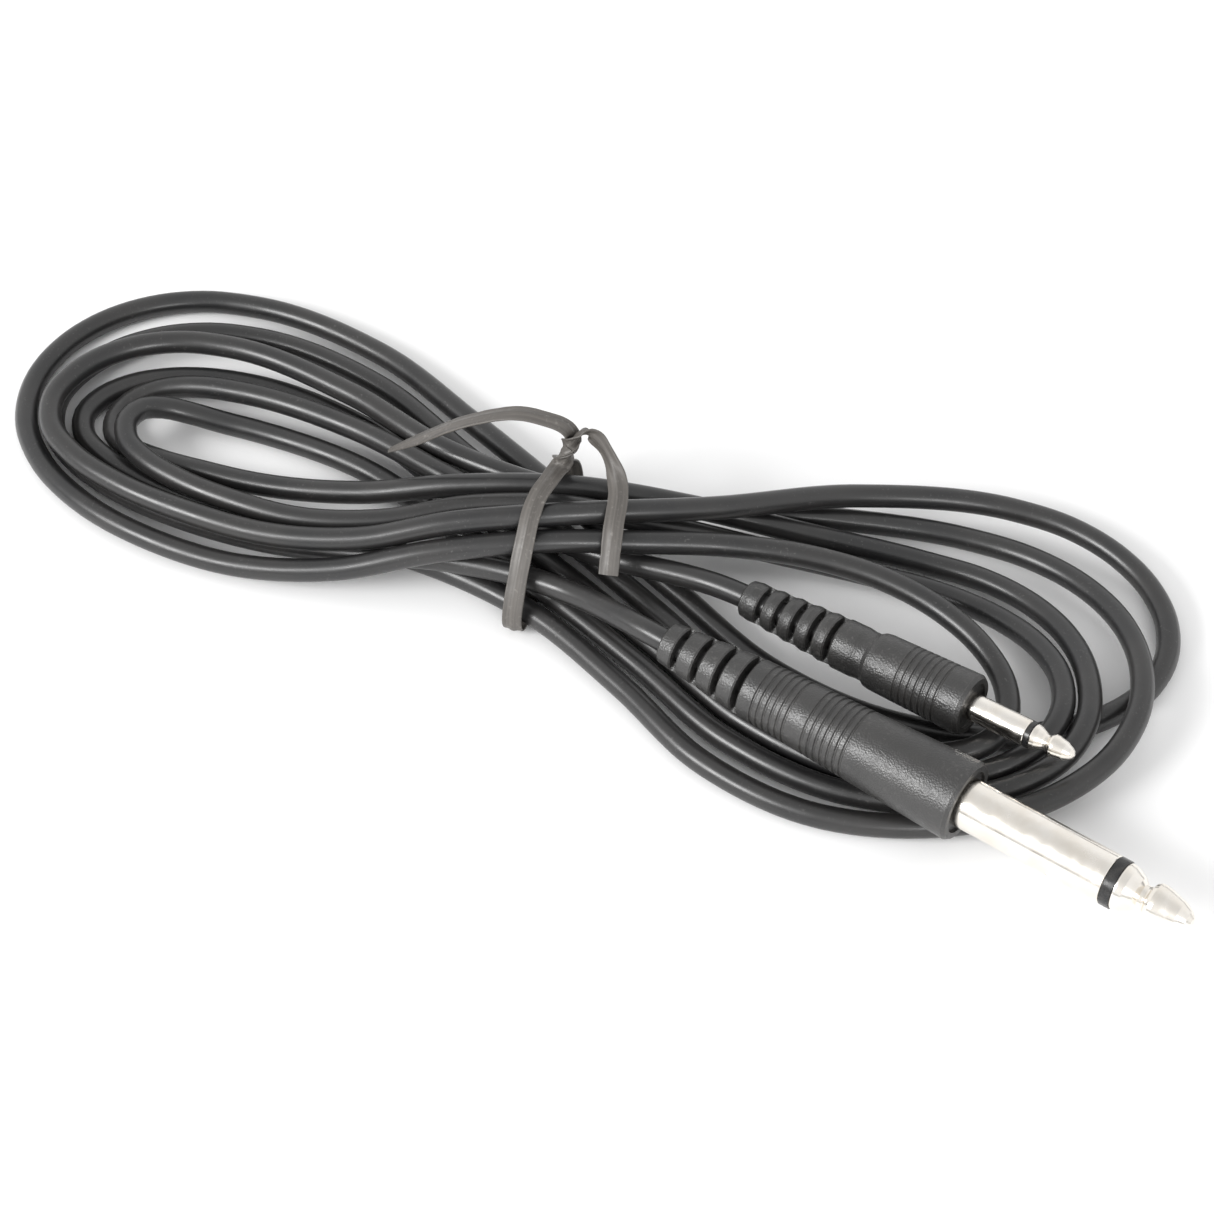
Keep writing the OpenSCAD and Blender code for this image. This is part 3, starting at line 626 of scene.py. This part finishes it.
def build_leads(plug):
    """The cable's end inside a boot, in one bending length per slot; returns where the slots bend."""
    sizes = PLUGS[plug]
    names = [f"{plug}_flex_{k + 1}" for k in range(sizes["slots"])]
    pivots = [np.array(joints[n]["pos_m"]) for n in names]
    axis = pivots[-1] - pivots[0]
    pitch = np.linalg.norm(axis) / (len(pivots) - 1)
    axis = axis / np.linalg.norm(axis)
    half_slot = sizes["slot"] / 2
    for layer, slot, sides, radius, bore in LAYERS:
        inner = circle(sides, bore) if bore else None
        for k, pivot in enumerate(pivots):
            back = half_slot if k == 0 else pitch / 2
            line = pivot + axis * np.linspace(-back, pitch / 2, LEAD_ROWS)[:, None]
            name = f"{plug}_lead_{layer}_bend_{k + 1}"
            obj = swept_piece(name, slot, line, carried_frames(line), circle(sides, radius), inner)
            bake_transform(obj)
            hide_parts(f"{plug}_lead_{layer}")
    return pivots, axis, pitch


def node_points(node):
    """A CAD mesh's vertices."""
    return np.array([v.co[:] for v in nodes[node].data.vertices])


def build_lead_ends(plug, pivots, axis, pitch):
    """Each layer's stripped end in the handle; the wire steps up to the tip lug."""
    begin = pitch / 2
    for layer, slot, sides, radius, bore in LAYERS[:-1]:
        end = float(((node_points(f"{plug}_lead_{layer}") - pivots[-1]) @ axis).max())
        line = pivots[-1] + axis * np.linspace(begin, end, LEAD_END_ROWS)[:, None]
        name = f"{plug}_lead_{layer}_end"
        obj = swept_piece(name, slot, line, carried_frames(line), circle(sides, radius), circle(sides, bore))
        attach(obj, f"{plug}_plug")
    points = node_points(f"{plug}_lead_wire") - pivots[-1]
    depth = points @ axis
    tip = points[depth > depth.max() - TIP_DEPTH].mean(axis=0)
    offset = tip - axis * (tip @ axis)
    straight = end + WIRE_FREE
    bend = np.array([0, 0.3, 0.7, 1.0])[:, None]
    rise = axis * (straight + WIRE_RISE * bend) + offset * (3 * bend**2 - 2 * bend**3)
    line = np.vstack([axis * begin, axis * straight * 0.5, rise, offset + axis * depth.max()])
    _, curve = smooth_line(pivots[-1] + line, WIRE_STEP)
    name = f"{plug}_lead_wire_end"
    wire = swept_piece(name, "copper", curve, carried_frames(curve), circle(CORE_SIDES, WIRE_R))
    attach(wire, f"{plug}_plug")


# ------------------------------------------------------------------ shown CAD nodes


def dress_cad_nodes():
    """Material for every CAD node that stays shown, and softened edges for the moulded and nickel ones."""
    slots = {s["node"]: s["material_slot"] for s in record["subparts"]}
    for name, obj in nodes.items():
        if obj.hide_render:
            continue
        finish_piece(obj, slots[name])
        if slots[name] in ("moulding_black", "nickel"):
            bevel = obj.modifiers.new("soft_edges", "BEVEL")
            bevel.width = EDGE_R
            bevel.segments = 2
            bevel.limit_method = "ANGLE"
            bevel.angle_limit = EDGE_ANGLE
            bevel.harden_normals = True


# ------------------------------------------------------------------ studio


def direction_to(azimuth, elevation):
    """The direction from the object to a place seen at these angles; azimuth 0 is the front."""
    a, e = math.radians(azimuth), math.radians(elevation)
    return Vector((math.sin(a) * math.cos(e), -math.cos(a) * math.cos(e), math.sin(e)))


def area_light(name, azimuth, elevation, distance, size, power):
    """A soft light that faces the object; size in metres, power in watts."""
    data = bpy.data.lights.new(name, "AREA")
    data.shape = "RECTANGLE"
    data.size, data.size_y = size
    data.energy = power
    obj = bpy.data.objects.new(name, data)
    away = direction_to(azimuth, elevation)
    obj.location = LIGHT_TARGET + away * distance
    obj.rotation_euler = away.to_track_quat("Z", "Y").to_euler()
    bpy.context.scene.collection.objects.link(obj)


def build_floor():
    """Plain pale paper under the coil."""
    half = FLOOR_HALF
    mesh = bpy.data.meshes.new("floor")
    corners = [(-half, -half, 0), (half, -half, 0), (half, half, 0), (-half, half, 0)]
    mesh.from_pydata(corners, [], [(0, 1, 2, 3)])
    floor = bpy.data.objects.new("floor", mesh)
    bpy.context.scene.collection.objects.link(floor)
    s = Shader("floor_paper")
    base = s.mixed(s.spread(s.noise(0.2), 0.0, 1.0), (0.90, 0.90, 0.90), (0.93, 0.93, 0.93))
    s.set(Base_Color=base, Roughness=0.9)
    mesh.materials.append(s.material)


def build_studio():
    """A bright room above a darker horizon, a soft key from the left front and a weak fill from the right."""
    world = bpy.data.worlds.new("studio")
    world.use_nodes = True
    tree = world.node_tree
    coords = tree.nodes.new("ShaderNodeTexCoord")
    split = tree.nodes.new("ShaderNodeSeparateXYZ")
    ramp = tree.nodes.new("ShaderNodeValToRGB")
    tree.links.new(coords.outputs["Generated"], split.inputs[0])
    tree.links.new(split.outputs["Z"], ramp.inputs["Fac"])
    tree.links.new(ramp.outputs["Color"], tree.nodes["Background"].inputs["Color"])
    elements = ramp.color_ramp.elements
    for element, height, grey in ((elements[0], 0.03, 0.20), (elements[1], 1.0, 0.74)):
        element.position, element.color = height, (grey, grey, grey, 1)
    elements.new(0.16).color = (1.08, 1.08, 1.08, 1)
    elements.new(0.70).color = (0.96, 0.96, 0.96, 1)
    bpy.context.scene.world = world
    area_light("key", -44, 31, 0.9, (0.45, 0.28), 6.5)
    area_light("fill", 30, 24, 1.0, (0.40, 0.20), 2.5)


def build_camera():
    """The main view, close enough for some perspective."""
    away = direction_to(VIEW_AZIMUTH, VIEW_ELEVATION)
    data = bpy.data.cameras.new("camera")
    data.sensor_width = 36.0
    data.lens = LENS_MM
    data.clip_start, data.clip_end = 0.01, 20.0
    camera = bpy.data.objects.new("camera", data)
    camera.location = VIEW_TARGET + away * VIEW_DISTANCE
    camera.rotation_euler = away.to_track_quat("Z", "Y").to_euler()
    bpy.context.scene.collection.objects.link(camera)
    bpy.context.scene.camera = camera


# ------------------------------------------------------------------ build

build_cable()
loop_curve, loop_side = build_tie_loop()
build_tail("left", loop_curve, loop_side, 0.6, 0.0)
build_tail("right", loop_curve[::-1], loop_side[::-1], 0.0, 1.6)
for plug_name in PLUGS:
    plug_pivots, plug_axis, plug_pitch = build_leads(plug_name)
    build_lead_ends(plug_name, plug_pivots, plug_axis, plug_pitch)
dress_cad_nodes()
build_floor()
build_studio()
build_camera()
bpy.context.scene.view_settings.view_transform = "Standard"
